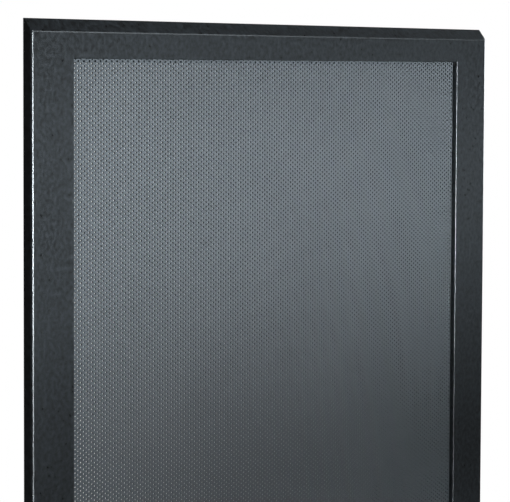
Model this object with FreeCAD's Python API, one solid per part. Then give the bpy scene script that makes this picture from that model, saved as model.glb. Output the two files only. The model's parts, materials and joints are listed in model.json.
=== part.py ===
import FreeCAD, Part
import math
import os

from FreeCAD import Vector

# Perforated rack door, in millimetres.
# X runs across the door towards its hinges, Y from the front face back into the rack, Z up.
# The door is drawn from its lower left front corner. At the end it is moved so that the origin
# lies between the lower hinge leaf's two screw holes, on the face that meets the rack.

# Folded door frame
DOOR_WIDTH = 580.0
DOOR_HEIGHT = 750.0
DOOR_DEPTH = 8.5
SHEET = 1.2
BEVEL_RISE = 10.8  # height over which the top and bottom edges slope back
SIDE_MEMBER = 45.0  # face width beside the window
END_MEMBER = 19.6  # face height above and below the window
SIDE_LIP = 11.0  # rear lips, folded inwards
END_LIP = 14.0
FLANGE_DEPTH = 4.0  # the window's edge is folded back this far
FLANGE_RELIEF = 3.0  # the side flanges stop this far from the window's corners
FRONT_BEND = 2.2  # outer bend radii
REAR_BEND = 0.8
WINDOW_BEND = 0.7

# Perforated sheet behind the window. Each slot stands for one line of its small round holes.
PANEL_SHEET = 1.2
PANEL_OVERLAP = 7.0
SLOT_WIDTH = 3.0
SLOT_PITCH = 12.0
SLOT_TIERS = 2
SLOT_BRIDGE = 9.0  # plain metal between tiers

# Folded strips that clamp the sheet against the window's flange
CLAMP_SHEET = 1.2
CLAMP_GRIP = 5.0  # reach over the sheet
END_GRIP = 9.3  # the top and bottom strips reach past the window's edge
CLAMP_GAP = 1.0  # from the sheet's edge to the strip's web
CLAMP_FOOT = 8.4
CLAMP_END_GAP = 3.0
STUD_RADIUS = 2.0
STUD_LENGTH = 6.8
STUD_INSET = 60.0  # from a strip's end to its outer stud
STUD_CLEARANCE = 0.25
NUT_FLATS = 7.0
NUT_HEIGHT = 3.2
THREAD_CLEARANCE = 0.05
FASTENER_SIDES = 8  # small repeated round pieces are prisms
RING_SIDES = 24

# Key lock in the free side of the frame
LOCK_INSET = 19.5
LOCK_RADIUS = 8.0
LOCK_FLATS = 14.0
LOCK_LENGTH = 31.5  # from the door's face to the barrel's rear end
LOCK_CLEARANCE = 0.15
LOCK_ROOM = 44.0  # the side strips stop for this height round the lock
LOCK_FLANGE_RADIUS = 10.5
LOCK_FLANGE_HEIGHT = 2.0
LOCK_NUT_FLATS = 20.0
LOCK_NUT_HEIGHT = 4.0
LOCK_WASHER_RADIUS = 10.8
LOCK_WASHER_HEIGHT = 0.8
PLUG_RADIUS = 5.5
PLUG_RECESS = 0.4  # the plug's face lies this far inside the flange
PLUG_CLEARANCE = 0.06
KEYWAY_WIDTH = 1.6
KEYWAY_HEIGHT = 7.0
KEYWAY_DEPTH = 18.0
TAIL_SIZE = 6.4  # square end that carries the cam
TAIL_CLEARANCE = 0.1
CAM_SHEET = 2.5
CAM_GAP = 0.4
CAM_HUB_RADIUS = 8.0
CAM_WIDTH = 11.0
CAM_REACH = 18.0
CAM_SCREW_RADIUS = 2.0
CAM_SCREW_LENGTH = 10.0
CAM_SCREW_HEAD_RADIUS = 4.6
CAM_SCREW_HEAD_HEIGHT = 2.6
CAM_SCREW_SLOT = 1.2

# Hinges at the other side
AXIS_INSET = 7.5  # from the door's edge
AXIS_BACK = 9.0  # behind the door's rear plane
PIN_RADIUS = 3.5
PIN_CLEARANCE = 0.06
EAR_RADIUS = 7.0
LEAF_SHEET = 3.0
LEAF_BACK = 11.0  # from the axis to the face that meets the rack
LEAF_LENGTH = 56.0
LEAF_HEIGHT = 28.0
LEAF_ROOT = 26.0  # length of the fold that carries the ear
LEAF_MARGIN = 3.0  # from the door's end to the leaf
LEAF_HOLE_RADIUS = 2.75
LEAF_HOLE_SPACING = 26.0
LEAF_HOLE_LINE = 31.0  # from the axis to the middle of the holes
BRACKET_SHEET = 2.0
BRACKET_HEIGHT = 38.0
BRACKET_GAP = 0.5  # between the two ears of a hinge
RIVET_RADIUS = 1.6
RIVET_CLEARANCE = 0.1
RIVET_HEAD_RADIUS = 3.0
RIVET_HEAD_HEIGHT = 1.1
RIVET_SPACING = 16.0

# Sprung pin of the upper hinge
PIN_TIP = 0.8  # the pin stands this far out of the leaf's ear
PIN_TAIL = 12.0  # length below the bracket, down to the pull bar
PULL_LENGTH = 20.0  # flat cross bar to pull the pin down by
PULL_WIDTH = 5.0
PULL_HEIGHT = 5.0
PIN_GROOVE = 0.8
CLIP_RADIUS = 5.6
CLIP_HEIGHT = 1.0
CLIP_GAP = 0.4
SPRING_RADIUS = 4.6  # centre line of the wire
SPRING_WIRE = 1.2
SPRING_TURNS = 6
SPRING_STATIONS = 10  # per turn
SPRING_GAP = 0.3

# Fixed pivot of the lower hinge
PIVOT_HEIGHT = 15.0  # above the leaf's ear
WASHER_RADIUS = 6.5
WASHER_HEIGHT = 1.0

# Places that follow from those sizes
WINDOW_LEFT = SIDE_MEMBER
WINDOW_RIGHT = DOOR_WIDTH - SIDE_MEMBER
WINDOW_BOTTOM = BEVEL_RISE + END_MEMBER
WINDOW_TOP = DOOR_HEIGHT - WINDOW_BOTTOM
PANEL_BACK = FLANGE_DEPTH + PANEL_SHEET
LOCK_HEIGHT = DOOR_HEIGHT / 2
LOCK_CENTRE = Vector(LOCK_INSET, 0, LOCK_HEIGHT)
CAM_FRONT = LOCK_LENGTH + CAM_GAP
AXIS_X = DOOR_WIDTH - AXIS_INSET
AXIS_Y = DOOR_DEPTH + AXIS_BACK
RACK_FACE = AXIS_Y + LEAF_BACK
LOWER_EAR_TOP = LEAF_MARGIN + LEAF_SHEET
UPPER_EAR_BOTTOM = DOOR_HEIGHT - LOWER_EAR_TOP
LOWER_BRACKET_BOTTOM = LOWER_EAR_TOP + WASHER_HEIGHT + BRACKET_GAP
UPPER_BRACKET_TOP = UPPER_EAR_BOTTOM - BRACKET_GAP
UPPER_BRACKET_BOTTOM = UPPER_BRACKET_TOP - BRACKET_HEIGHT
CLIP_TOP = UPPER_BRACKET_TOP - BRACKET_SHEET - CLIP_GAP
LEAF_HOLE_HEIGHT = LEAF_MARGIN + (LEAF_HEIGHT + LEAF_SHEET) / 2
ORIGIN = Vector(AXIS_X - LEAF_HOLE_LINE, RACK_FACE, LEAF_HOLE_HEIGHT)

ACROSS = Vector(1, 0, 0)
BACK = Vector(0, 1, 0)
UP = Vector(0, 0, 1)


def box(x, y, z):
    """A block from three (low, high) pairs."""
    low = Vector(x[0], y[0], z[0])
    return Part.makeBox(x[1] - x[0], y[1] - y[0], z[1] - z[0], low)


def prism(points, reach):
    """A flat outline pushed along a vector."""
    return Part.Face(Part.makePolygon(points + points[:1])).extrude(reach)


def rod(radius, start, direction, length):
    return Part.makeCylinder(radius, length, start, direction)


def bar(sides, flats, start, direction, length):
    """A prism with regular sides, flats across, along Y or Z."""
    corner = flats / 2 / math.cos(math.pi / sides)
    second = UP if direction == BACK else BACK
    turns = [math.pi * (2 * i + 1) / sides for i in range(sides)]
    points = [start + ACROSS * (corner * math.cos(a)) + second * (corner * math.sin(a)) for a in turns]
    return prism(points, direction * length)


def stud(radius, start, length):
    return bar(FASTENER_SIDES, 2 * radius, start, BACK, length)


def ring(outer, inner, start, direction, length):
    """A washer, whose inner flats touch the inner radius."""
    hole = bar(RING_SIDES, 2 * inner, start, direction, length)
    return bar(RING_SIDES, 2 * outer, start, direction, length).cut(hole)


def at_axis(height):
    return Vector(AXIS_X, AXIS_Y, height)


def tray(inset):
    """The closed outer form of the door, moved inwards by inset, with its bends rounded."""
    drop = inset * math.hypot(BEVEL_RISE, DOOR_DEPTH) / DOOR_DEPTH
    rear = DOOR_DEPTH - inset

    def edge(depth):
        return BEVEL_RISE * (1 - depth / DOOR_DEPTH) + drop

    outline = [
        Vector(inset, inset, edge(inset)),
        Vector(inset, inset, DOOR_HEIGHT - edge(inset)),
        Vector(inset, rear, DOOR_HEIGHT - edge(rear)),
        Vector(inset, rear, edge(rear)),
    ]
    form = prism(outline, ACROSS * (DOOR_WIDTH - 2 * inset))
    form = form.makeFillet(FRONT_BEND - inset, [e for e in form.Edges if e.BoundBox.YMax < inset + 0.01])
    if inset < REAR_BEND:
        form = form.makeFillet(REAR_BEND - inset, [e for e in form.Edges if e.BoundBox.YMin > rear - 0.01])
    return form


def window_block(grow, front, back):
    return box(
        (WINDOW_LEFT - grow, WINDOW_RIGHT + grow),
        (front, back),
        (WINDOW_BOTTOM - grow, WINDOW_TOP + grow),
    )


def lock_hole():
    """The round hole with two flats that keeps the lock from turning."""
    reach = LOCK_RADIUS + LOCK_CLEARANCE
    flat = LOCK_FLATS / 2 + LOCK_CLEARANCE
    hole = rod(reach, LOCK_CENTRE - BACK * SHEET, BACK, 3 * SHEET)
    low, high = LOCK_HEIGHT - flat, LOCK_HEIGHT + flat
    return hole.common(box((0, 2 * LOCK_INSET), (-SHEET, 2 * SHEET), (low, high)))


def rivet_places():
    """Rivets through each hinge bracket and the lip under it."""
    x = DOOR_WIDTH - SIDE_LIP / 2
    lower = LOWER_BRACKET_BOTTOM + BRACKET_HEIGHT / 2
    upper = UPPER_BRACKET_BOTTOM + BRACKET_HEIGHT / 2
    steps = (-RIVET_SPACING / 2, RIVET_SPACING / 2)
    return {
        "lower": [Vector(x, DOOR_DEPTH, lower + s) for s in steps],
        "upper": [Vector(x, DOOR_DEPTH, upper + s) for s in steps],
    }


def rivet_hole(place):
    start = place - BACK * 2 * SHEET
    return stud(RIVET_RADIUS + RIVET_CLEARANCE, start, 2 * SHEET + 2 * BRACKET_SHEET)


def flange_reliefs():
    """Gaps in the side flanges at the window's corners, which let the corners be folded."""
    sides = ((WINDOW_LEFT - SHEET, WINDOW_LEFT), (WINDOW_RIGHT, WINDOW_RIGHT + SHEET))
    ends = (
        (WINDOW_BOTTOM, WINDOW_BOTTOM + FLANGE_RELIEF),
        (WINDOW_TOP - FLANGE_RELIEF, WINDOW_TOP),
    )
    return [box(x, (SHEET, FLANGE_DEPTH), z) for x in sides for z in ends]


def door_frame():
    """Front face, side walls, sloped ends, rear lips and window flange, folded from one sheet."""
    shell = tray(0).cut(tray(SHEET))
    rear_opening = box(
        (SIDE_LIP, DOOR_WIDTH - SIDE_LIP),
        (DOOR_DEPTH - 2 * SHEET, DOOR_DEPTH + SHEET),
        (END_LIP, DOOR_HEIGHT - END_LIP),
    )
    frame = shell.cut(rear_opening)
    frame = frame.fuse(window_block(SHEET, 0, FLANGE_DEPTH))
    frame = frame.cut(window_block(0, -SHEET, FLANGE_DEPTH + SHEET)).removeSplitter()
    middle = Vector(DOOR_WIDTH / 2, 0, DOOR_HEIGHT / 2)
    half_width = (WINDOW_RIGHT - WINDOW_LEFT) / 2 + 0.01
    half_height = (WINDOW_TOP - WINDOW_BOTTOM) / 2 + 0.01
    rim = [
        e
        for e in frame.Edges
        if e.BoundBox.YMax < 0.01
        and abs(e.CenterOfMass.x - middle.x) < half_width
        and abs(e.CenterOfMass.z - middle.z) < half_height
    ]
    frame = frame.makeFillet(WINDOW_BEND, rim)
    holes = [rivet_hole(p) for side in rivet_places().values() for p in side]
    return frame.cut(Part.makeCompound(holes + flange_reliefs() + [lock_hole()]))


def rectangle(x, y, z):
    """An upright flat face across the door."""
    corners = [(x[0], z[0]), (x[1], z[0]), (x[1], z[1]), (x[0], z[1]), (x[0], z[0])]
    return Part.Face(Part.makePolygon([Vector(a, y, b) for a, b in corners]))


def perforated_panel():
    """A flat sheet with tiers of narrow slots over the whole window."""
    outline = rectangle(
        (WINDOW_LEFT - PANEL_OVERLAP, WINDOW_RIGHT + PANEL_OVERLAP),
        FLANGE_DEPTH,
        (WINDOW_BOTTOM - PANEL_OVERLAP, WINDOW_TOP + PANEL_OVERLAP),
    )
    columns = int((WINDOW_RIGHT - WINDOW_LEFT) / SLOT_PITCH)
    first = DOOR_WIDTH / 2 - (columns - 1) / 2 * SLOT_PITCH - SLOT_WIDTH / 2
    tier = (WINDOW_TOP - WINDOW_BOTTOM) / SLOT_TIERS
    slots = []
    for column in range(columns):
        left = first + column * SLOT_PITCH
        for row in range(SLOT_TIERS):
            low = WINDOW_BOTTOM + row * tier + SLOT_BRIDGE / 2
            high = low + tier - SLOT_BRIDGE
            slots.append(rectangle((left, left + SLOT_WIDTH), FLANGE_DEPTH, (low, high)))
    return outline.cut(Part.makeCompound(slots)).Faces[0].extrude(BACK * PANEL_SHEET)


def beside_window(side, out, depth, along):
    """A point out from one edge of the window, depth behind the face, along that edge."""
    return {
        "left": Vector(WINDOW_LEFT - out, depth, along),
        "right": Vector(WINDOW_RIGHT + out, depth, along),
        "bottom": Vector(along, depth, WINDOW_BOTTOM - out),
        "top": Vector(along, depth, WINDOW_TOP + out),
    }[side]


def clamp_runs():
    """Each clamp strip's edge of the window, with where it starts and ends along that edge."""
    side_run = (WINDOW_BOTTOM + CLAMP_END_GAP, WINDOW_TOP - CLAMP_END_GAP)
    end_run = (WINDOW_LEFT + CLAMP_END_GAP, WINDOW_RIGHT - CLAMP_END_GAP)
    below_lock = LOCK_HEIGHT - LOCK_ROOM / 2
    above_lock = LOCK_HEIGHT + LOCK_ROOM / 2
    return {
        "left_lower_clamp": ("left", side_run[0], below_lock),
        "left_upper_clamp": ("left", above_lock, side_run[1]),
        "right_lower_clamp": ("right", side_run[0], below_lock),
        "right_upper_clamp": ("right", above_lock, side_run[1]),
        "top_clamp": ("top", end_run[0], end_run[1]),
        "bottom_clamp": ("bottom", end_run[0], end_run[1]),
    }


def stud_places(side, start, end):
    out = PANEL_OVERLAP + CLAMP_GAP + CLAMP_SHEET + CLAMP_FOOT / 2
    return [beside_window(side, out, SHEET, a) for a in (start + STUD_INSET, end - STUD_INSET)]


def clamp(side, start, end):
    """A strip of Z section: a foot on the frame, a web, and a lip over the sheet's edge."""
    web = PANEL_OVERLAP + CLAMP_GAP
    heel = web + CLAMP_SHEET
    grip = END_GRIP if side in ("top", "bottom") else CLAMP_GRIP
    section = [
        (PANEL_OVERLAP - grip, PANEL_BACK),
        (web, PANEL_BACK),
        (web, SHEET),
        (heel + CLAMP_FOOT, SHEET),
        (heel + CLAMP_FOOT, SHEET + CLAMP_SHEET),
        (heel, SHEET + CLAMP_SHEET),
        (heel, PANEL_BACK + CLAMP_SHEET),
        (PANEL_OVERLAP - grip, PANEL_BACK + CLAMP_SHEET),
    ]
    points = [beside_window(side, out, depth, start) for out, depth in section]
    reach = beside_window(side, 0, 0, end) - beside_window(side, 0, 0, start)
    strip = prism(points, reach)
    radius = STUD_RADIUS + STUD_CLEARANCE
    holes = [stud(radius, p, 2 * CLAMP_SHEET) for p in stud_places(side, start, end)]
    return strip.cut(Part.makeCompound(holes))


def clamp_fasteners():
    """The studs on the frame's inner face, and the nuts that hold the strips down on them."""
    studs = []
    nuts = []
    for side, start, end in clamp_runs().values():
        for place in stud_places(side, start, end):
            studs.append(stud(STUD_RADIUS, place, STUD_LENGTH))
            seat = place + BACK * CLAMP_SHEET
            bore = stud(STUD_RADIUS + THREAD_CLEARANCE, seat, NUT_HEIGHT)
            nuts.append(bar(6, NUT_FLATS, seat, BACK, NUT_HEIGHT).cut(bore))
    return Part.makeCompound(studs), Part.makeCompound(nuts)


def behind_lock(depth):
    return LOCK_CENTRE + BACK * depth


def lock_barrel():
    """Flanged lock body with two flats, bored for the plug."""
    flange = rod(LOCK_FLANGE_RADIUS, behind_lock(-LOCK_FLANGE_HEIGHT), BACK, LOCK_FLANGE_HEIGHT)
    barrel = rod(LOCK_RADIUS, behind_lock(0), BACK, LOCK_LENGTH)
    flat = LOCK_FLATS / 2
    between_flats = box(
        (LOCK_INSET - LOCK_RADIUS, LOCK_INSET + LOCK_RADIUS),
        (0, LOCK_LENGTH),
        (LOCK_HEIGHT - flat, LOCK_HEIGHT + flat),
    )
    length = LOCK_FLANGE_HEIGHT + LOCK_LENGTH
    bore = rod(PLUG_RADIUS + PLUG_CLEARANCE, behind_lock(-LOCK_FLANGE_HEIGHT), BACK, length)
    return flange.fuse(barrel.common(between_flats)).cut(bore)


def lock_plug():
    """The part that the key turns: a round body with a keyway in front and a square tail."""
    face = PLUG_RECESS - LOCK_FLANGE_HEIGHT
    body = rod(PLUG_RADIUS, behind_lock(face), BACK, CAM_FRONT - face)
    half = TAIL_SIZE / 2
    tail = box(
        (LOCK_INSET - half, LOCK_INSET + half),
        (CAM_FRONT, CAM_FRONT + CAM_SHEET),
        (LOCK_HEIGHT - half, LOCK_HEIGHT + half),
    )
    keyway = box(
        (LOCK_INSET - KEYWAY_WIDTH / 2, LOCK_INSET + KEYWAY_WIDTH / 2),
        (face, face + KEYWAY_DEPTH),
        (LOCK_HEIGHT - KEYWAY_HEIGHT / 2, LOCK_HEIGHT + KEYWAY_HEIGHT / 2),
    )
    depth = CAM_SCREW_LENGTH + CAM_SCREW_RADIUS
    start = behind_lock(CAM_FRONT + CAM_SHEET - depth)
    thread = rod(CAM_SCREW_RADIUS + THREAD_CLEARANCE, start, BACK, depth)
    return body.fuse(tail).cut(keyway.fuse(thread))


def lock_nut():
    seat = behind_lock(SHEET + LOCK_WASHER_HEIGHT)
    bore = rod(LOCK_RADIUS + THREAD_CLEARANCE, seat, BACK, LOCK_NUT_HEIGHT)
    return bar(6, LOCK_NUT_FLATS, seat, BACK, LOCK_NUT_HEIGHT).cut(bore)


def lock_washer():
    inner = LOCK_RADIUS + LOCK_CLEARANCE
    return ring(LOCK_WASHER_RADIUS, inner, behind_lock(SHEET), BACK, LOCK_WASHER_HEIGHT)


def lock_cam():
    """A flat tongue that points past the door's free edge when the door is locked."""
    hub = rod(CAM_HUB_RADIUS, behind_lock(CAM_FRONT), BACK, CAM_SHEET)
    depth = (CAM_FRONT, CAM_FRONT + CAM_SHEET)
    half = CAM_WIDTH / 2
    tongue = box(
        (LOCK_INSET - CAM_REACH, LOCK_INSET), depth, (LOCK_HEIGHT - half, LOCK_HEIGHT + half)
    )
    hole = TAIL_SIZE / 2 + TAIL_CLEARANCE
    square = box(
        (LOCK_INSET - hole, LOCK_INSET + hole), depth, (LOCK_HEIGHT - hole, LOCK_HEIGHT + hole)
    )
    cam = hub.fuse(tongue).removeSplitter()
    end = LOCK_INSET - CAM_REACH
    tip = [e for e in cam.Edges if e.BoundBox.XMax < end + 0.01 and e.Length < CAM_SHEET + 0.01]
    return cam.makeFillet(CAM_WIDTH / 3, tip).cut(square)


def cam_screw():
    seat = CAM_FRONT + CAM_SHEET
    head = rod(CAM_SCREW_HEAD_RADIUS, behind_lock(seat), BACK, CAM_SCREW_HEAD_HEIGHT)
    shank = rod(CAM_SCREW_RADIUS, behind_lock(seat - CAM_SCREW_LENGTH), BACK, CAM_SCREW_LENGTH)
    slot_depth = CAM_SCREW_HEAD_HEIGHT / 2
    top = seat + CAM_SCREW_HEAD_HEIGHT
    slot = box(
        (LOCK_INSET - CAM_SCREW_HEAD_RADIUS, LOCK_INSET + CAM_SCREW_HEAD_RADIUS),
        (top - slot_depth, top),
        (LOCK_HEIGHT - CAM_SCREW_SLOT / 2, LOCK_HEIGHT + CAM_SCREW_SLOT / 2),
    )
    return head.fuse(shank).cut(slot)


def rack_leaf(end, bore_radius):
    """A plate screwed to the rack, with an ear folded forward at the door's top or bottom end."""
    plate_front = RACK_FACE - LEAF_SHEET
    ear_low = LEAF_MARGIN if end == "lower" else DOOR_HEIGHT - LEAF_MARGIN - LEAF_SHEET
    plate_low = LEAF_MARGIN if end == "lower" else DOOR_HEIGHT - LEAF_MARGIN - LEAF_HEIGHT
    plate = box(
        (AXIS_X - LEAF_LENGTH, AXIS_X), (plate_front, RACK_FACE), (plate_low, plate_low + LEAF_HEIGHT)
    )

    def on_ear(degrees):
        turn = math.radians(degrees)
        offset = Vector(EAR_RADIUS * math.cos(turn), EAR_RADIUS * math.sin(turn), 0)
        return at_axis(ear_low) + offset

    root_far = Vector(AXIS_X - LEAF_ROOT, RACK_FACE, ear_low)
    root_near = Vector(AXIS_X, RACK_FACE, ear_low)
    nose = Part.Arc(on_ear(30), on_ear(-60), on_ear(-135)).toShape()
    outline = Part.Wire(
        [
            nose,
            Part.makeLine(on_ear(-135), root_far),
            Part.makeLine(root_far, root_near),
            Part.makeLine(root_near, on_ear(30)),
        ]
    )
    ear = Part.Face(outline).extrude(UP * LEAF_SHEET)
    bore = rod(bore_radius, at_axis(ear_low), UP, LEAF_SHEET)
    hole_height = LEAF_HOLE_HEIGHT if end == "lower" else DOOR_HEIGHT - LEAF_HOLE_HEIGHT
    holes = [
        rod(
            LEAF_HOLE_RADIUS,
            Vector(AXIS_X - LEAF_HOLE_LINE + side * LEAF_HOLE_SPACING / 2, plate_front, hole_height),
            BACK,
            LEAF_SHEET,
        )
        for side in (-1, 1)
    ]
    return plate.fuse(ear).removeSplitter().cut(Part.makeCompound(holes + [bore]))


def bracket_ear(low):
    """A level ear with a round end about the hinge axis, bored for the pin."""
    strap = box(
        (AXIS_X - EAR_RADIUS, AXIS_X + EAR_RADIUS), (DOOR_DEPTH, AXIS_Y), (low, low + BRACKET_SHEET)
    )
    round_end = rod(EAR_RADIUS, at_axis(low), UP, BRACKET_SHEET)
    bore = rod(PIN_RADIUS + PIN_CLEARANCE, at_axis(low), UP, BRACKET_SHEET)
    return strap.fuse(round_end).cut(bore)


def door_bracket(bottom, ears, rivets):
    """A plate on the frame's rear lip, with one or two ears folded out of it."""
    plate = box(
        (AXIS_X - EAR_RADIUS, AXIS_X + EAR_RADIUS),
        (DOOR_DEPTH, DOOR_DEPTH + BRACKET_SHEET),
        (bottom, bottom + BRACKET_HEIGHT),
    )
    bracket = plate.fuse([bracket_ear(low) for low in ears]).removeSplitter()
    return bracket.cut(Part.makeCompound([rivet_hole(p) for p in rivets]))


def bracket_rivets():
    rivets = []
    for places in rivet_places().values():
        for place in places:
            inside = place - BACK * SHEET
            grip = SHEET + BRACKET_SHEET
            shank = stud(RIVET_RADIUS, inside, grip)
            head = stud(RIVET_HEAD_RADIUS, place + BACK * BRACKET_SHEET, RIVET_HEAD_HEIGHT)
            tail = stud(RIVET_HEAD_RADIUS, inside - BACK * RIVET_HEAD_HEIGHT, RIVET_HEAD_HEIGHT)
            rivets.append(shank.fuse([head, tail]))
    return Part.makeCompound(rivets)


def hinge_pin():
    """A rod through both ears of the upper bracket, with a cross bar to pull it down by."""
    low = UPPER_BRACKET_BOTTOM - PIN_TAIL
    top = UPPER_EAR_BOTTOM + LEAF_SHEET + PIN_TIP
    pull = box(
        (AXIS_X + EAR_RADIUS - PULL_LENGTH, AXIS_X + EAR_RADIUS),
        (AXIS_Y - PULL_WIDTH / 2, AXIS_Y + PULL_WIDTH / 2),
        (low - PULL_HEIGHT, low),
    )
    seat = at_axis(CLIP_TOP - CLIP_HEIGHT)
    groove = rod(PIN_RADIUS + PIN_GROOVE, seat, UP, CLIP_HEIGHT)
    neck = rod(PIN_RADIUS - PIN_GROOVE, seat, UP, CLIP_HEIGHT)
    return rod(PIN_RADIUS, at_axis(low), UP, top - low).fuse(pull).cut(groove).fuse(neck)


def pin_clip():
    """The ring in the pin's groove that the spring pushes up."""
    low = CLIP_TOP - CLIP_HEIGHT
    return ring(CLIP_RADIUS, PIN_RADIUS - PIN_GROOVE, at_axis(low), UP, CLIP_HEIGHT)


def pin_spring():
    """A compression spring of square wire, made of flat facets along its helix."""
    low = UPPER_BRACKET_BOTTOM + BRACKET_SHEET
    high = CLIP_TOP - CLIP_HEIGHT - SPRING_GAP
    steps = SPRING_TURNS * SPRING_STATIONS
    climb = (high - low - SPRING_WIRE) / steps
    half = SPRING_WIRE / 2
    corners = [(-half, 0), (half, 0), (half, SPRING_WIRE), (-half, SPRING_WIRE)]
    stations = []
    for step in range(steps + 1):
        turn = 2 * math.pi * step / SPRING_STATIONS
        outward = Vector(math.cos(turn), math.sin(turn), 0)
        base = at_axis(low + climb * step)
        stations.append([base + outward * (SPRING_RADIUS + out) + UP * up for out, up in corners])
    faces = [stations[0], stations[-1]]
    for near, far in zip(stations, stations[1:]):
        for i in range(4):
            j = (i + 1) % 4
            faces.append([near[i], near[j], far[j]])
            faces.append([near[i], far[j], far[i]])
    shell = Part.Shell([Part.Face(Part.makePolygon(f + f[:1])) for f in faces])
    spring = Part.Solid(shell)
    if spring.Volume < 0:
        spring.reverse()
    return spring


def pivot_pin():
    """The upright pin in the lower leaf that carries the door."""
    return rod(PIN_RADIUS, at_axis(LEAF_MARGIN), UP, LEAF_SHEET + PIVOT_HEIGHT)


def pivot_washer():
    inner = PIN_RADIUS + PIN_CLEARANCE
    return ring(WASHER_RADIUS, inner, at_axis(LOWER_EAR_TOP), UP, WASHER_HEIGHT)


def all_pieces():
    studs, nuts = clamp_fasteners()
    rivets = rivet_places()
    upper_ears = (UPPER_BRACKET_BOTTOM, UPPER_BRACKET_TOP - BRACKET_SHEET)
    pieces = {
        "door_frame": door_frame(),
        "perforated_panel": perforated_panel(),
        "clamp_studs": studs,
        "clamp_nuts": nuts,
        "lock_barrel": lock_barrel(),
        "lock_washer": lock_washer(),
        "lock_nut": lock_nut(),
        "lock_plug": lock_plug(),
        "lock_cam": lock_cam(),
        "cam_screw": cam_screw(),
        "lower_rack_leaf": rack_leaf("lower", PIN_RADIUS),
        "upper_rack_leaf": rack_leaf("upper", PIN_RADIUS + PIN_CLEARANCE),
        "lower_door_bracket": door_bracket(LOWER_BRACKET_BOTTOM, [LOWER_BRACKET_BOTTOM], rivets["lower"]),
        "upper_door_bracket": door_bracket(UPPER_BRACKET_BOTTOM, upper_ears, rivets["upper"]),
        "bracket_rivets": bracket_rivets(),
        "hinge_pin": hinge_pin(),
        "pin_clip": pin_clip(),
        "pin_spring": pin_spring(),
        "pivot_pin": pivot_pin(),
        "pivot_washer": pivot_washer(),
    }
    for name, run in clamp_runs().items():
        pieces[name] = clamp(*run)
    return pieces


def main():
    os.makedirs("parts", exist_ok=True)
    for name, shape in all_pieces().items():
        shape.translate(ORIGIN * -1)
        shape.exportStep(f"parts/{name}.step")
        print(name, len(shape.Solids), round(shape.Volume, 1), shape.isValid())


main()
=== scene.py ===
# %% [markdown]
# # A perforated rack door
# The door is a tray folded from steel sheet, with a window cut in its face and a finely
# perforated sheet clamped behind the window. The folded tray, the hinges and the lock arrive
# as solids. This lesson gives them their finishes, punches the true perforation, models the
# small fasteners as they really are, and sets up the studio.

# %% Load the solids
import json
import math

import bpy
from mathutils import Matrix, Vector

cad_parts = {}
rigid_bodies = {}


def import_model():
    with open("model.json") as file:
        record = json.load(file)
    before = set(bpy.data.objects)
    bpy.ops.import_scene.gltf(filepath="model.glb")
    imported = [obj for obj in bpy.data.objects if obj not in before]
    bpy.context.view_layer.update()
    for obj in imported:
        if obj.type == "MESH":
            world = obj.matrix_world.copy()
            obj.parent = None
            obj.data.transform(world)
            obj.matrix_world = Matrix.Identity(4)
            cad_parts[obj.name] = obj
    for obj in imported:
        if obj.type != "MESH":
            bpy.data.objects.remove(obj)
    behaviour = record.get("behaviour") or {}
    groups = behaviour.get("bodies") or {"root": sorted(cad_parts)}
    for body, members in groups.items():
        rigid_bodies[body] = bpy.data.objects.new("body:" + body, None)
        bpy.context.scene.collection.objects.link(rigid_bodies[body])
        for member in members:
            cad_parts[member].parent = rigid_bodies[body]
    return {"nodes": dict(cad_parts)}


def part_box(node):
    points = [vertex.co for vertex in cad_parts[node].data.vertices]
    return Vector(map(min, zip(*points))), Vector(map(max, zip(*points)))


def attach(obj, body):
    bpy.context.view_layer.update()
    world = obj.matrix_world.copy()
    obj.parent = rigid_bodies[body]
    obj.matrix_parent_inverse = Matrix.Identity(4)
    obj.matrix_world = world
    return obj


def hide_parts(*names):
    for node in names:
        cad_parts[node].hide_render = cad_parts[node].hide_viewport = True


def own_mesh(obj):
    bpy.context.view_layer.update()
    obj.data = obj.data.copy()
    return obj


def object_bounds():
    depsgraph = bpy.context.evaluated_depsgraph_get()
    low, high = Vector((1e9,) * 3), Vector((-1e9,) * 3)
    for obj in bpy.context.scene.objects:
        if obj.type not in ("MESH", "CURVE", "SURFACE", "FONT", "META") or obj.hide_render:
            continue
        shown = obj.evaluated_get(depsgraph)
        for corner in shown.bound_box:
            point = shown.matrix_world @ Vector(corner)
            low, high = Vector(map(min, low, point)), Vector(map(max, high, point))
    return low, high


for leftover in list(bpy.data.objects):
    bpy.data.objects.remove(leftover)
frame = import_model()
nodes = frame["nodes"]
SOLID_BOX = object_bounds()
print("solids:", len(nodes), "box:", [[round(v, 4) for v in corner] for corner in SOLID_BOX])

# %% [markdown]
# ## The camera
# The picture was taken from the door's left, about level with its top edge, with a long lens.
# The edges of the face run to vanishing points far outside the picture, and those give the
# turn, the tilt and the distance. A camera is easiest to keep right when its turn is built
# from plain angles, so the heading, the tilt and the roll are kept as numbers.

# %% Camera
IMAGE_WIDTH = 510
FOCAL_PIXELS = 2593.9
SENSOR_WIDTH = 36.0
CAMERA_PLACE = Vector((-1.88452, -1.31467, 0.69307))
CAMERA_HEADING = math.radians(51.173)
CAMERA_TILT = math.radians(3.978)
CAMERA_ROLL = math.radians(0.244)

camera_data = bpy.data.cameras.new("photo_camera")
camera = bpy.data.objects.new("photo_camera", camera_data)
bpy.context.scene.collection.objects.link(camera)
camera_data.sensor_width = SENSOR_WIDTH
camera_data.lens = FOCAL_PIXELS * SENSOR_WIDTH / IMAGE_WIDTH
turn = (
    Matrix.Rotation(-CAMERA_HEADING, 3, "Z")
    @ Matrix.Rotation(math.pi / 2 - CAMERA_TILT, 3, "X")
    @ Matrix.Rotation(CAMERA_ROLL, 3, "Z")
)
camera.matrix_world = Matrix.Translation(CAMERA_PLACE) @ turn.to_4x4()
bpy.context.scene.camera = camera
print("camera lens:", round(camera_data.lens, 1), "mm")

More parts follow.
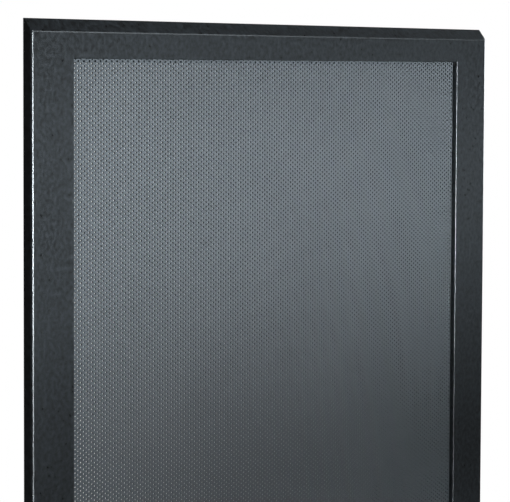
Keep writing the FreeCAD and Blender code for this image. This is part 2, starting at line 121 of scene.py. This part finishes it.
# %% [markdown]
# ## A way to write shader maths
# Linking Math nodes by hand hides what they work out. A small class that wraps a socket lets
# a finish be written as a sum, and adds the nodes itself.


# %% Shader maths
class Shade:
    """A socket of a shader tree, which can be used in sums."""

    def __init__(self, tree, socket=None):
        self.tree = tree
        self.socket = socket

    def add(self, kind, inputs=None, output=0, **settings):
        """Adds a node with its settings and its inputs, and gives one of its outputs."""
        node = self.tree.nodes.new(kind)
        for name, value in settings.items():
            setattr(node, name, value)
        for name, value in (inputs or {}).items():
            if isinstance(value, Shade):
                self.tree.links.new(value.socket, node.inputs[name])
            else:
                node.inputs[name].default_value = value
        return Shade(self.tree, node.outputs[output])

    def maths(self, operation, first, second):
        return self.add("ShaderNodeMath", {0: first, 1: second}, operation=operation)

    def __add__(self, other):
        return self.maths("ADD", self, other)

    __radd__ = __add__

    def __sub__(self, other):
        return self.maths("SUBTRACT", self, other)

    def __rsub__(self, other):
        return self.maths("SUBTRACT", other, self)

    def __mul__(self, other):
        return self.maths("MULTIPLY", self, other)

    __rmul__ = __mul__

    def clamped(self, low, high):
        return self.add("ShaderNodeClamp", {"Value": self, "Min": low, "Max": high})

    def noise(self, size, detail=2.0, roughness=0.5):
        """A soft noise whose lumps are about that many metres across."""
        places = self.add("ShaderNodeTexCoord", output="Object")
        inputs = {"Vector": places, "Scale": 1 / size, "Detail": detail, "Roughness": roughness}
        return self.add("ShaderNodeTexNoise", inputs)

    def mixed(self, first, second):
        """A colour between two colours, by this value."""
        inputs = {"Factor": self, 6: first, 7: second}
        return self.add("ShaderNodeMix", inputs, output=2, data_type="RGBA")

    def bump(self, strength, depth, over=None):
        """A normal that follows this height, over another normal where one is given."""
        inputs = {"Height": self, "Strength": strength, "Distance": depth}
        if over:
            inputs["Normal"] = over
        return self.add("ShaderNodeBump", inputs)


def new_finish(name, **steady):
    """A material with one Principled shader, whose steady values are set on its own sockets."""
    finish = bpy.data.materials.new(name)
    finish.use_nodes = True
    tree = finish.node_tree
    shader = tree.nodes["Principled BSDF"]
    for socket, value in steady.items():
        shader.inputs[socket.replace("_", " ")].default_value = value
    return finish, Shade(tree), shader


def feed(shade, shader, **sockets):
    """Links values that change over the surface to the Principled shader's sockets."""
    for socket, value in sockets.items():
        shade.tree.links.new(value.socket, shader.inputs[socket.replace("_", " ")])


print("shader helper ready")

# %% [markdown]
# ## Black powder coat
# The folded tray wears a cool black powder coat. Powder flows out in the oven into a skin of
# tiny rounded lumps, with a slow waviness that breaks up the reflections, and it cures a little
# duller in some places than in others. Noises of real size make the bump, and broader ones
# shift the colour and the gloss. The skin's surface is smoother than the grain below it, so a
# clear coat lies on top. Powder also softens sharp folds: a Bevel node rounds the normal
# there, and the bump goes over that.

# %% Powder coat
PAINT_DARK = (0.0048, 0.0058, 0.0066, 1)
PAINT_LIGHT = (0.0340, 0.0398, 0.0450, 1)
LUMP_SIZE = 0.0009
GRAIN_SIZE = 0.0036
WAVE_SIZE = 0.007
CLOUD_SIZE = 0.09
EDGE_ROUND = 0.002
PAINT_BUMP = 0.00036
PAINT_ROUGHNESS = 0.215
GRAIN_CONTRAST = 2.2
CLOUD_CONTRAST = 0.4
TONE_SHIFT = 0.8

black_paint, shade, shader = new_finish(
    "black_powder_coat",
    Specular_IOR_Level=0.7,
    Coat_Weight=0.65,
    Coat_Roughness=0.24,
    Coat_IOR=1.7,
)
lumps = shade.noise(LUMP_SIZE, detail=2.0)
grain = shade.noise(GRAIN_SIZE, detail=1.0)
waves = shade.noise(WAVE_SIZE, detail=1.0)
clouds = shade.noise(CLOUD_SIZE, detail=3.0)
rounded = shade.add("ShaderNodeBevel", {"Radius": EDGE_ROUND}, samples=8)
tone = grain * GRAIN_CONTRAST + clouds * CLOUD_CONTRAST - TONE_SHIFT
height = lumps * 0.3 + grain * 0.6 + waves * 0.1
feed(
    shade,
    shader,
    Base_Color=tone.clamped(0, 1).mixed(PAINT_DARK, PAINT_LIGHT),
    Roughness=(PAINT_ROUGHNESS + clouds * 0.05 + grain * 0.14).clamped(0.15, 0.6),
    Normal=height.bump(1.0, PAINT_BUMP, over=rounded),
)
print("made", black_paint.name)

# %% [markdown]
# ## The perforated sheet's coat
# The sheet has a satin coat of graphite grey, paler than the tray. The spray reaches the punched
# edges thinly, so its skin is smoother than the powder on the tray.

# %% Panel coat
PANEL_DARK = (0.127, 0.139, 0.149, 1)
PANEL_LIGHT = (0.154, 0.167, 0.177, 1)
PANEL_ROUGHNESS = 0.42
PANEL_BUMP = 0.00008

panel_coat, shade, shader = new_finish("graphite_panel_coat", Specular_IOR_Level=0.4)
lumps = shade.noise(LUMP_SIZE, detail=1.0)
clouds = shade.noise(CLOUD_SIZE, detail=3.0)
feed(
    shade,
    shader,
    Base_Color=(clouds * 0.8 + lumps * 0.2).mixed(PANEL_DARK, PANEL_LIGHT),
    Roughness=(PANEL_ROUGHNESS + clouds * 0.08).clamped(0.3, 0.6),
    Normal=lumps.bump(0.2, PANEL_BUMP),
)
print("made", panel_coat.name)

# %% [markdown]
# ## Zinc, nickel and nylon
# The studs, nuts, rivets and pins are zinc plated: a bright grey metal whose plating dries in
# soft patches and takes fine scuffs. The lock is nickel on a zinc casting, smoother and warmer.
# The hinge's washer is natural nylon, which is slightly milky and takes faint scuffs.

# %% Metal and nylon
ZINC_DARK = (0.50, 0.51, 0.54, 1)
ZINC_LIGHT = (0.68, 0.69, 0.71, 1)
ZINC_ROUGHNESS = 0.24
NICKEL_DARK = (0.60, 0.59, 0.57, 1)
NICKEL_LIGHT = (0.74, 0.73, 0.71, 1)
NICKEL_ROUGHNESS = 0.12
NYLON_DARK = (0.78, 0.77, 0.72, 1)
NYLON_LIGHT = (0.86, 0.855, 0.82, 1)
NYLON_ROUGHNESS = 0.42
PATCH_SIZE = 0.004
SCUFF_SIZE = 0.0008
SCUFF_DEPTH = 0.00004
NICKEL_SCUFF_DEPTH = 0.00003

zinc, shade, shader = new_finish("zinc_plating", Metallic=1.0)
patches = shade.noise(PATCH_SIZE, detail=4.0, roughness=0.6)
scuffs = shade.noise(SCUFF_SIZE, detail=2.0)
feed(
    shade,
    shader,
    Base_Color=patches.mixed(ZINC_DARK, ZINC_LIGHT),
    Roughness=(ZINC_ROUGHNESS + patches * 0.16 + scuffs * 0.06).clamped(0.2, 0.6),
    Normal=scuffs.bump(0.15, SCUFF_DEPTH),
)

nickel, shade, shader = new_finish("nickel_plating", Metallic=1.0)
patches = shade.noise(PATCH_SIZE, detail=3.0)
scuffs = shade.noise(SCUFF_SIZE, detail=2.0)
feed(
    shade,
    shader,
    Base_Color=patches.mixed(NICKEL_DARK, NICKEL_LIGHT),
    Roughness=(NICKEL_ROUGHNESS + patches * 0.10 + scuffs * 0.05).clamped(0.1, 0.4),
    Normal=scuffs.bump(0.08, NICKEL_SCUFF_DEPTH),
)

nylon, shade, shader = new_finish("natural_nylon", Subsurface_Weight=0.1)
patches = shade.noise(PATCH_SIZE, detail=2.0)
scuffs = shade.noise(SCUFF_SIZE, detail=2.0)
feed(
    shade,
    shader,
    Base_Color=patches.mixed(NYLON_DARK, NYLON_LIGHT),
    Roughness=(NYLON_ROUGHNESS + scuffs * 0.14).clamped(0.3, 0.7),
    Normal=scuffs.bump(0.2, SCUFF_DEPTH),
)
print("made", zinc.name, nickel.name, nylon.name)

# %% [markdown]
# ## Finishes on the solids
# Each solid arrives with a plain material named for its slot. It is swapped for the finish of
# that slot, and the shape of the solid is left alone.

# %% Dress the solids
FINISH_OF_SLOT = {
    "black_paint": black_paint,
    "panel_coat": panel_coat,
    "zinc_steel": zinc,
    "lock_chrome": nickel,
    "nylon": nylon,
}
for node in nodes.values():
    for index, plain in enumerate(node.data.materials):
        slot_name = plain.name.split(".")[0]
        node.data.materials[index] = FINISH_OF_SLOT[slot_name]
print("dressed", len(nodes), "solids")

# %% [markdown]
# ## Tools for modelling
# Blender's operators act on whatever is selected, and the solids arrive selected. So each tool
# here first makes its choice plain: one active object, or the points of a mesh that a test picks.


# %% Tools for modelling
def deselect():
    if bpy.context.mode != "OBJECT":
        bpy.ops.object.mode_set(mode="OBJECT")
    bpy.ops.object.select_all(action="DESELECT")


def pick(piece):
    """Makes one object the selected and active one."""
    deselect()
    piece.select_set(True)
    bpy.context.view_layer.objects.active = piece
    return piece


def settle(name):
    """Names the object that was just added and puts its place and turn into its mesh."""
    piece = bpy.context.object
    piece.name = name
    bpy.ops.object.transform_apply(location=True, rotation=True, scale=True)
    return piece


def select_points(piece, wanted):
    """Selects the points of a mesh for which wanted(place) is true, in edit mode."""
    pick(piece)
    bpy.ops.object.mode_set(mode="EDIT")
    bpy.ops.mesh.select_mode(type="VERT")
    bpy.ops.mesh.select_all(action="DESELECT")
    bpy.ops.object.mode_set(mode="OBJECT")
    for point in piece.data.vertices:
        point.select = bool(wanted(point.co))
    bpy.ops.object.mode_set(mode="EDIT")


def apply_modifiers(piece):
    pick(piece)
    for modifier in list(piece.modifiers):
        bpy.ops.object.modifier_apply(modifier=modifier.name)


def repeat(piece, count, step):
    """Repeats a piece in a straight line with an Array modifier."""
    array = piece.modifiers.new("repeat", "ARRAY")
    array.count = count
    array.use_relative_offset = False
    array.use_constant_offset = True
    array.constant_offset_displace = step
    apply_modifiers(piece)
    return piece


print("modelling tools ready")

# %% [markdown]
# ## One punched tile
# The sheet is punched all over with 2 mm holes at 3.5 mm pitch. Each column of holes is shifted
# half a pitch against the next, so every hole has six neighbours at the same distance. A boolean
# with thousands of cylinders would be slow and would leave a poor mesh. A punched sheet is a
# tiling: one hole carries a strip of web to three of its neighbours, and two small triangles
# fill the corners between them. Each hole has six sides, one for each neighbour, which keeps
# tens of thousands of them light.

# %% One punched tile
HOLE_RADIUS = 0.001
HOLE_PITCH = 0.0035
COLUMN_PITCH = HOLE_PITCH * math.sqrt(3) / 2
HOLE_SIDES = 6
HOLE_FLAT = HOLE_RADIUS * math.cos(math.pi / HOLE_SIDES)
WEB = HOLE_PITCH - 2 * HOLE_FLAT
SLACK = HOLE_RADIUS / 50
UPPER_RIGHT = Vector((math.cos(math.pi / 6), 0, math.sin(math.pi / 6)))
LOWER_RIGHT = Vector((math.cos(math.pi / 6), 0, -math.sin(math.pi / 6)))
UPWARD = Vector((0, 0, 1))


def punched_tile(centre):
    """A hole with the web to three neighbours, and the two corners between those strips."""
    deselect()
    bpy.ops.mesh.primitive_circle_add(
        vertices=HOLE_SIDES,
        radius=HOLE_RADIUS,
        location=centre,
        rotation=(math.pi / 2, math.pi / HOLE_SIDES, 0),
    )
    tile = settle("punched_tile")

    def on_hole(place, way):
        offset = place - centre
        return abs(offset.dot(way) - HOLE_FLAT) < SLACK and offset.length < HOLE_RADIUS + SLACK

    for way in (UPWARD, UPPER_RIGHT, LOWER_RIGHT):
        select_points(tile, lambda place: on_hole(place, way))
        bpy.ops.mesh.extrude_region_move(TRANSFORM_OT_translate={"value": way * WEB})
    upper = centre + (UPWARD + UPPER_RIGHT) * HOLE_RADIUS / math.sqrt(3)
    right = centre + (UPPER_RIGHT + LOWER_RIGHT) * HOLE_RADIUS / math.sqrt(3)
    for corner, ways in ((upper, (UPWARD, UPPER_RIGHT)), (right, (UPPER_RIGHT, LOWER_RIGHT))):
        ends = [corner] + [corner + way * WEB for way in ways]
        select_points(tile, lambda place: any((place - end).length < SLACK for end in ends))
        bpy.ops.mesh.edge_face_add()
    bpy.ops.object.mode_set(mode="OBJECT")
    return tile


trial = punched_tile(Vector((0, 0, 0)))
print("tile faces:", len(trial.data.polygons), "points:", len(trial.data.vertices))
bpy.data.objects.remove(trial)

# %% [markdown]
# ## Strips of tiles
# Array modifiers lay the tile in columns and rows, and a bisect trims the edges through the
# holes, as a guillotine cuts real stock. Solidify then gives the sheet its thickness and the
# holes their walls. The sheet is made in upright strips, so that no mesh grows too heavy.

# %% Strips of tiles
STRIPS = 5
MERGE_DISTANCE = 0.00002
HOLE_SMOOTH_ANGLE = math.radians(65)

sheet_low, sheet_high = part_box("perforated_panel")
SHEET_MIDDLE = (sheet_low + sheet_high) / 2
SHEET_THICKNESS = sheet_high.y - sheet_low.y


def laid_tiles(name, left, right):
    """Tiles that cover an upright strip of the sheet and stand out past its edges."""
    pairs_before = math.ceil((SHEET_MIDDLE.x - left) / (2 * COLUMN_PITCH)) + 1
    rows_below = math.ceil((SHEET_MIDDLE.z - sheet_low.z) / HOLE_PITCH) + 1
    start = Vector(
        (
            SHEET_MIDDLE.x - pairs_before * 2 * COLUMN_PITCH,
            sheet_low.y,
            SHEET_MIDDLE.z - rows_below * HOLE_PITCH,
        )
    )
    strip = punched_tile(start)
    pick(strip)
    bpy.ops.object.mode_set(mode="EDIT")
    bpy.ops.mesh.select_all(action="SELECT")
    shifted = (COLUMN_PITCH, 0, HOLE_PITCH / 2)
    bpy.ops.mesh.duplicate_move(TRANSFORM_OT_translate={"value": shifted})
    bpy.ops.object.mode_set(mode="OBJECT")
    pairs = math.ceil((right - start.x) / (2 * COLUMN_PITCH)) + 1
    repeat(strip, pairs, (2 * COLUMN_PITCH, 0, 0))
    repeat(strip, 2 * rows_below + 2, (0, 0, HOLE_PITCH))
    strip.name = name
    return strip


def trim(strip, left, right):
    """Merges the tiles, cuts the strip straight and turns its faces to the front."""
    bpy.ops.object.mode_set(mode="EDIT")
    bpy.ops.mesh.select_all(action="SELECT")
    bpy.ops.mesh.remove_doubles(threshold=MERGE_DISTANCE)
    cuts = (
        ((left, 0, 0), (-1, 0, 0)),
        ((right, 0, 0), (1, 0, 0)),
        ((0, 0, sheet_low.z), (0, 0, -1)),
        ((0, 0, sheet_high.z), (0, 0, 1)),
    )
    for place, outward in cuts:
        bpy.ops.mesh.select_all(action="SELECT")
        bpy.ops.mesh.bisect(plane_co=place, plane_no=outward, clear_outer=True)
    bpy.ops.mesh.select_all(action="SELECT")
    bpy.ops.mesh.delete_loose(use_verts=True, use_edges=True, use_faces=False)
    bpy.ops.mesh.select_all(action="SELECT")
    bpy.ops.mesh.normals_make_consistent(inside=False)
    bpy.ops.object.mode_set(mode="OBJECT")
    if strip.data.polygons[0].normal.y > 0:
        bpy.ops.object.mode_set(mode="EDIT")
        bpy.ops.mesh.select_all(action="SELECT")
        bpy.ops.mesh.flip_normals()
        bpy.ops.object.mode_set(mode="OBJECT")


def perforated_strip(name, left, right):
    """An upright strip of the sheet, trimmed straight, closed and solid."""
    strip = laid_tiles(name, left, right)
    trim(strip, left, right)
    wall = strip.modifiers.new("wall", "SOLIDIFY")
    wall.thickness = SHEET_THICKNESS
    wall.offset = -1
    apply_modifiers(strip)
    bpy.ops.object.shade_smooth_by_angle(angle=HOLE_SMOOTH_ANGLE)
    strip.data.materials.clear()
    strip.data.materials.append(panel_coat)
    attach(strip, "door")
    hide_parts("perforated_panel")
    return strip


columns = (sheet_high.x - sheet_low.x) / COLUMN_PITCH
seams = [sheet_low.x]
for number in range(1, STRIPS):
    column = round(columns * number / STRIPS - columns / 2)
    seams.append(SHEET_MIDDLE.x + (column + 0.5) * COLUMN_PITCH)
seams.append(sheet_high.x)
for number in range(STRIPS):
    name = "perforated_sheet_%d" % (number + 1)
    strip = perforated_strip(name, seams[number], seams[number + 1])
    strip.data.calc_loop_triangles()
    low = [round(v, 5) for v in strip.bound_box[0]]
    high = [round(v, 5) for v in strip.bound_box[6]]
    print(strip.name, "triangles:", len(strip.data.loop_triangles), low, high)

# %% [markdown]
# ## Turned pieces
# The clamping strips are held by nuts on welded studs, and the hinge brackets by rivets. Studs
# and rivets are turned pieces, which a lathe would make from a profile. The same profile works
# here: a circle is extruded along its axis and resized at each step. The places are read from
# the solids that they replace, so each fastener sits where the solid sits.

# %% Turned pieces
MILLIMETRE = 0.001
TURNED_SIDES = 24
SOLID_REACH = 12 * MILLIMETRE


def solids_in(name):
    """The boxes of the separate solids of one node, found from how near their points are."""
    groups = []
    for point in nodes[name].data.vertices:
        home = [group for group in groups if (group[0] - point.co).length < SOLID_REACH]
        if home:
            home[0].append(point.co)
        else:
            groups.append([point.co])
    boxes = []
    for group in groups:
        low = Vector([min(place[axis] for place in group) for axis in range(3)])
        high = Vector([max(place[axis] for place in group) for axis in range(3)])
        boxes.append((low, high))
    return boxes


def close_rings(piece):
    """Caps the open ends of a tube and turns its faces outwards."""
    pick(piece)
    bpy.ops.object.mode_set(mode="EDIT")
    bpy.ops.mesh.select_all(action="SELECT")
    bpy.ops.mesh.fill_holes(sides=0)
    bpy.ops.mesh.select_all(action="SELECT")
    bpy.ops.mesh.normals_make_consistent(inside=False)
    bpy.ops.object.mode_set(mode="OBJECT")
    return piece


def turned(name, axis_place, profile):
    """A piece turned about an axis along y, from radii and places along it."""
    deselect()
    radius, along = profile[0]
    bpy.ops.mesh.primitive_circle_add(
        vertices=TURNED_SIDES,
        radius=radius,
        location=(axis_place.x, along, axis_place.z),
        rotation=(math.pi / 2, 0, 0),
    )
    piece = settle(name)
    bpy.ops.object.mode_set(mode="EDIT")
    bpy.ops.mesh.select_all(action="SELECT")
    for next_radius, next_along in profile[1:]:
        step = (0, next_along - along, 0)
        bpy.ops.mesh.extrude_region_move(TRANSFORM_OT_translate={"value": step})
        share = next_radius / radius
        middle = (axis_place.x, next_along, axis_place.z)
        bpy.ops.transform.resize(value=(share, 1, share), center_override=middle)
        radius, along = next_radius, next_along
    bpy.ops.object.mode_set(mode="OBJECT")
    return close_rings(piece)


def copies(piece, offsets):
    """Joins a piece with copies of it at these offsets from it."""
    crowd = [piece]
    for offset in offsets:
        other = piece.copy()
        other.data = piece.data.copy()
        other.location = offset
        bpy.context.scene.collection.objects.link(other)
        crowd.append(other)
    pick(piece)
    for other in crowd:
        other.select_set(True)
    bpy.ops.object.join()
    return settle(piece.name)


def hand_over(piece, finish, body, node_name, smooth):
    """Gives a piece its finish, hangs it on its body and hides the solid that it replaces."""
    pick(piece)
    bpy.ops.object.shade_smooth_by_angle(angle=math.radians(smooth))
    piece.data.materials.clear()
    piece.data.materials.append(finish)
    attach(piece, body)
    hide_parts(node_name)
    piece.data.calc_loop_triangles()
    print(piece.name, "triangles:", len(piece.data.loop_triangles))
    return piece


# %% [markdown]
# ## Studs
# A welded stud is a plain shank with a thread at its end. At this size a thread shows as a row
# of crests, so the profile goes in and out once for each turn, and ends in a small chamfer that
# leads the nut on.

# %% Threaded studs
THREAD_PITCH = 0.7 * MILLIMETRE
THREAD_DEPTH = 0.22 * MILLIMETRE
THREADS = 4
STUD_CHAMFER = 0.4 * MILLIMETRE

stud_boxes = solids_in("clamp_studs")
stud_low, stud_high = stud_boxes[0]
stud_axis = (stud_low + stud_high) / 2
stud_radius = (stud_high.x - stud_low.x) / 2
thread_end = stud_high.y - STUD_CHAMFER
thread_start = thread_end - THREADS * THREAD_PITCH
stud_profile = [(stud_radius, stud_low.y), (stud_radius, thread_start)]
for number in range(THREADS):
    crest = thread_start + (number + 1) * THREAD_PITCH
    stud_profile.append((stud_radius - THREAD_DEPTH, crest - THREAD_PITCH / 2))
    stud_profile.append((stud_radius, crest))
stud_profile.append((stud_radius - STUD_CHAMFER, stud_high.y))
stud = turned("threaded_studs", stud_axis, stud_profile)
studs = copies(stud, [(low + high) / 2 - stud_axis for low, high in stud_boxes[1:]])
hand_over(studs, zinc, "door", "clamp_studs", smooth=30)

# %% [markdown]
# ## Nuts
# A nut is a six-sided bar whose corners are turned off on both faces. The lathe's cut is a
# cone, so the plain prism is crossed with a chamfered disc, and then drilled.

# %% Chamfered nuts
NUT_SIDES = 6
NUT_CHAMFER = 0.45 * MILLIMETRE
CORNER_TRIM = 0.997
BORE_GAP = 0.05 * MILLIMETRE


def upright_cylinder(name, centre, sides, radius, length):
    """A cylinder along y."""
    deselect()
    bpy.ops.mesh.primitive_cylinder_add(
        vertices=sides,
        radius=radius,
        depth=length,
        location=centre,
        rotation=(math.pi / 2, 0, 0),
    )
    return settle(name)


def carve(piece, operation, tool):
    """Crosses or cuts a piece with a tool, which is then thrown away."""
    boolean = piece.modifiers.new("carve", "BOOLEAN")
    boolean.operation = operation
    boolean.solver = "EXACT"
    boolean.object = tool
    apply_modifiers(piece)
    bpy.data.objects.remove(tool)
    return piece


nut_boxes = solids_in("clamp_nuts")
nut_low, nut_high = nut_boxes[0]
nut_centre = (nut_low + nut_high) / 2
nut_corner = (nut_high.z - nut_low.z) / 2
nut_height = nut_high.y - nut_low.y
nut = upright_cylinder("clamp_hex_nuts", nut_centre, NUT_SIDES, nut_corner, nut_height)
disc_radius = nut_corner * CORNER_TRIM
disc = upright_cylinder("disc", nut_centre, 2 * TURNED_SIDES, disc_radius, nut_height)
bevel = disc.modifiers.new("chamfer", "BEVEL")
bevel.width = NUT_CHAMFER
bevel.segments = 1
apply_modifiers(disc)
carve(nut, "INTERSECT", disc)
bore_radius = stud_radius + BORE_GAP
drill = upright_cylinder("drill", nut_centre, TURNED_SIDES, bore_radius, 2 * nut_height)
carve(nut, "DIFFERENCE", drill)
nuts = copies(nut, [(low + high) / 2 - nut_centre for low, high in nut_boxes[1:]])
hand_over(nuts, zinc, "door", "clamp_nuts", smooth=20)

# %% [markdown]
# ## Rivets
# Each bracket is held by two solid rivets. Their heads are hammered to low domes on both sides,
# so the profile is a dome, a straight shank and a dome again.

# %% Domed rivets
RIVET_HEAD = 1.1 * MILLIMETRE
SHANK_RADIUS = 1.6 * MILLIMETRE
DOME = ((1.0, 0.0), (0.97, 0.35), (0.84, 0.66), (0.6, 0.88), (0.3, 0.98))

rivet_boxes = solids_in("bracket_rivets")
rivet_low, rivet_high = rivet_boxes[0]
rivet_axis = (rivet_low + rivet_high) / 2
head_radius = (rivet_high.x - rivet_low.x) / 2
tail_foot = rivet_low.y + RIVET_HEAD
head_foot = rivet_high.y - RIVET_HEAD
tail = [(head_radius * share, tail_foot - RIVET_HEAD * rise) for share, rise in reversed(DOME)]
head = [(head_radius * share, head_foot + RIVET_HEAD * rise) for share, rise in DOME]
shank = [(SHANK_RADIUS, tail_foot), (SHANK_RADIUS, head_foot)]
rivet = turned("domed_rivets", rivet_axis, tail + shank + head)
rivets = copies(rivet, [(low + high) / 2 - rivet_axis for low, high in rivet_boxes[1:]])
hand_over(rivets, zinc, "door", "bracket_rivets", smooth=50)

# %% [markdown]
# ## The hinge's spring
# The upper hinge pin is pushed up by a small compression spring of round wire. A circle, the
# wire's section, is swept along a helix by a Screw modifier, and its two ends are capped. When
# the pin is pulled down, the real spring is squeezed against the bracket's lower ear.

# %% Round-wire spring
SPRING_TURNS = 6
WIRE_RADIUS = 0.6 * MILLIMETRE
WIRE_SIDES = 12
STEPS_PER_TURN = 32

spring_low, spring_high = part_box("pin_spring")
spring_height = spring_high.z - spring_low.z
spring_middle = (spring_low + spring_high) / 2
spring_axis = Vector((spring_middle.x, spring_middle.y, 0))
coil_radius = (spring_high.y - spring_low.y) / 2 - WIRE_RADIUS
deselect()
bpy.ops.mesh.primitive_circle_add(
    vertices=WIRE_SIDES,
    radius=WIRE_RADIUS,
    location=(coil_radius, 0, spring_low.z + WIRE_RADIUS),
    rotation=(math.pi / 2, 0, 0),
)
spring = settle("round_wire_spring")
sweep = spring.modifiers.new("sweep", "SCREW")
sweep.axis = "Z"
sweep.angle = 2 * math.pi
sweep.iterations = SPRING_TURNS
sweep.screw_offset = (spring_height - 2 * WIRE_RADIUS) / SPRING_TURNS
sweep.steps = STEPS_PER_TURN
sweep.render_steps = STEPS_PER_TURN
apply_modifiers(spring)
spring.location = spring_axis
bpy.ops.object.transform_apply(location=True, rotation=True, scale=True)
close_rings(spring)
hand_over(spring, zinc, "door", "pin_spring", smooth=50)
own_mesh(spring)
print("spring height:", round(spring_height, 4), "m")

# %% [markdown]
# ## The lamps
# A wide soft box stands in front of the door, to its right. It carries a honeycomb grid, so its
# light keeps to the upper part of the door and dies away downwards. A narrow box is aimed past
# the left edge: the left fold catches it as a thin bright line, and the side wall, which looks
# away, stays dark. Other boxes light the foot of the door, the right member and the fold along
# the top. The two last ones, behind the door and to its right, light it for the other views.

# %% Lamps
LAMP_COLOUR = (0.90, 1.0, 1.06)


def soft_lamp(name, place, target, size, power, spread):
    """A soft box that looks at a target, with its light held to a cone of that many degrees."""
    lamp_data = bpy.data.lights.new(name, "AREA")
    lamp_data.shape = "RECTANGLE"
    lamp_data.size, lamp_data.size_y = size
    lamp_data.energy = power
    lamp_data.color = LAMP_COLOUR
    lamp_data.spread = math.radians(spread)
    lamp = bpy.data.objects.new(name, lamp_data)
    bpy.context.scene.collection.objects.link(lamp)
    lamp.location = place
    lamp.rotation_euler = (Vector(target) - Vector(place)).to_track_quat("-Z", "Y").to_euler()
    lamp.visible_camera = False
    return lamp


soft_lamp("front_lamp", (0.30, -1.7, 0.50), (-0.04, 0, 0.63), (1.2, 0.30), 1.45, spread=17)
soft_lamp("edge_lamp", (-0.42, -1.7, 0.28), (-0.76, 0, 0.30), (0.3, 0.7), 0.40, spread=24)
soft_lamp("low_lamp", (-0.18, -1.7, 0.07), (-0.36, 0, 0.07), (1.2, 0.12), 1.32, spread=22)
soft_lamp("side_lamp", (2.3, -1.7, 0.48), (0.0, 0, 0.62), (1.0, 0.10), 0.016, spread=60)
soft_lamp("high_lamp", (1.2, -1.7, 1.75), (-0.35, 0, 0.72), (1.6, 0.4), 0.45, spread=40)
soft_lamp("rear_lamp", (0.7, 1.9, 1.2), (-0.25, 0, 0.4), (1.2, 1.2), 3.4, spread=45)
soft_lamp("right_lamp", (2.4, 0.5, 0.9), (0.15, 0.15, 0.36), (1.0, 1.0), 2.6, spread=50)

# %% [markdown]
# ## The surroundings
# The surroundings are white to the camera and dim to everything else, so that they don't wash
# out a black finish. A black gloss mirrors what is around it and would turn grey in a white
# room, so only a small share of that white reaches the reflections.

# %% Surroundings
AMBIENT = 0.03
MIRRORED = 0.02


def white_rays(shade):
    """One for rays straight from the camera or through a clear piece, and nothing for others."""
    seen = shade.add("ShaderNodeLightPath", output="Is Camera Ray")
    through = shade.add("ShaderNodeLightPath", output="Is Transmission Ray")
    return seen + through


world = bpy.data.worlds.new("studio")
bpy.context.scene.world = world
world.use_nodes = True
shade = Shade(world.node_tree)
background = world.node_tree.nodes["Background"]
mirrored = shade.add("ShaderNodeLightPath", output="Is Glossy Ray")
white = (white_rays(shade) + mirrored * MIRRORED).clamped(0, 1)
strength = white * (1 - AMBIENT) + AMBIENT
world.node_tree.links.new(strength.socket, background.inputs["Strength"])
background.inputs["Color"].default_value = (1, 1, 1, 1)
print("surroundings: white to the camera,", AMBIENT, "to the object")

# %% [markdown]
# ## The floor
# The floor is a pale plane that takes the door's shadow. Far out it glows white to the camera,
# so it melts into the surroundings, and near the door it glows only half as much, which leaves
# the shadow to be seen.

# %% Floor
FLOOR_HALF = 30.0
FLOOR_GAP = 0.0005
FLOOR_DARK = (0.78, 0.78, 0.78, 1)
FLOOR_LIGHT = (0.82, 0.82, 0.82, 1)
FLOOR_GRAIN = 0.3
NEAR_GLOW = 0.5
CLEAR_NEAR = 0.7
CLEAR_FAR = 1.7

floor_height = SOLID_BOX[0].z - FLOOR_GAP
deselect()
bpy.ops.mesh.primitive_plane_add(size=2 * FLOOR_HALF, location=(0, 0, floor_height))
floor = settle("studio_floor")
pale, shade, shader = new_finish("pale_floor", Roughness=0.8, Specular_IOR_Level=0.1)
places = shade.add("ShaderNodeTexCoord", output="Object")
distance = shade.add("ShaderNodeVectorMath", {0: places}, output="Value", operation="LENGTH")
far_out = shade.add(
    "ShaderNodeMapRange",
    {"Value": distance, "From Min": CLEAR_NEAR, "From Max": CLEAR_FAR},
    interpolation_type="SMOOTHSTEP",
)
grain = shade.noise(FLOOR_GRAIN, detail=2.0)
feed(shade, shader, Base_Color=grain.mixed(FLOOR_DARK, FLOOR_LIGHT))
white = white_rays(shade).clamped(0, 1) * (NEAR_GLOW + far_out * (1 - NEAR_GLOW))
glow = shade.add("ShaderNodeEmission", {"Color": (1, 1, 1, 1), "Strength": 1.0})
mix = shade.tree.nodes.new("ShaderNodeMixShader")
shade.tree.links.new(white.socket, mix.inputs[0])
shade.tree.links.new(shader.outputs[0], mix.inputs[1])
shade.tree.links.new(glow.socket, mix.inputs[2])
shade.tree.links.new(mix.outputs[0], shade.tree.nodes["Material Output"].inputs["Surface"])
floor.data.materials.append(pale)
print("floor at", round(floor_height, 4))

# %% [markdown]
# ## The view transform
# The picture is shown through Blender's Standard view transform.

# %% View transform
bpy.context.scene.view_settings.view_transform = "Standard"
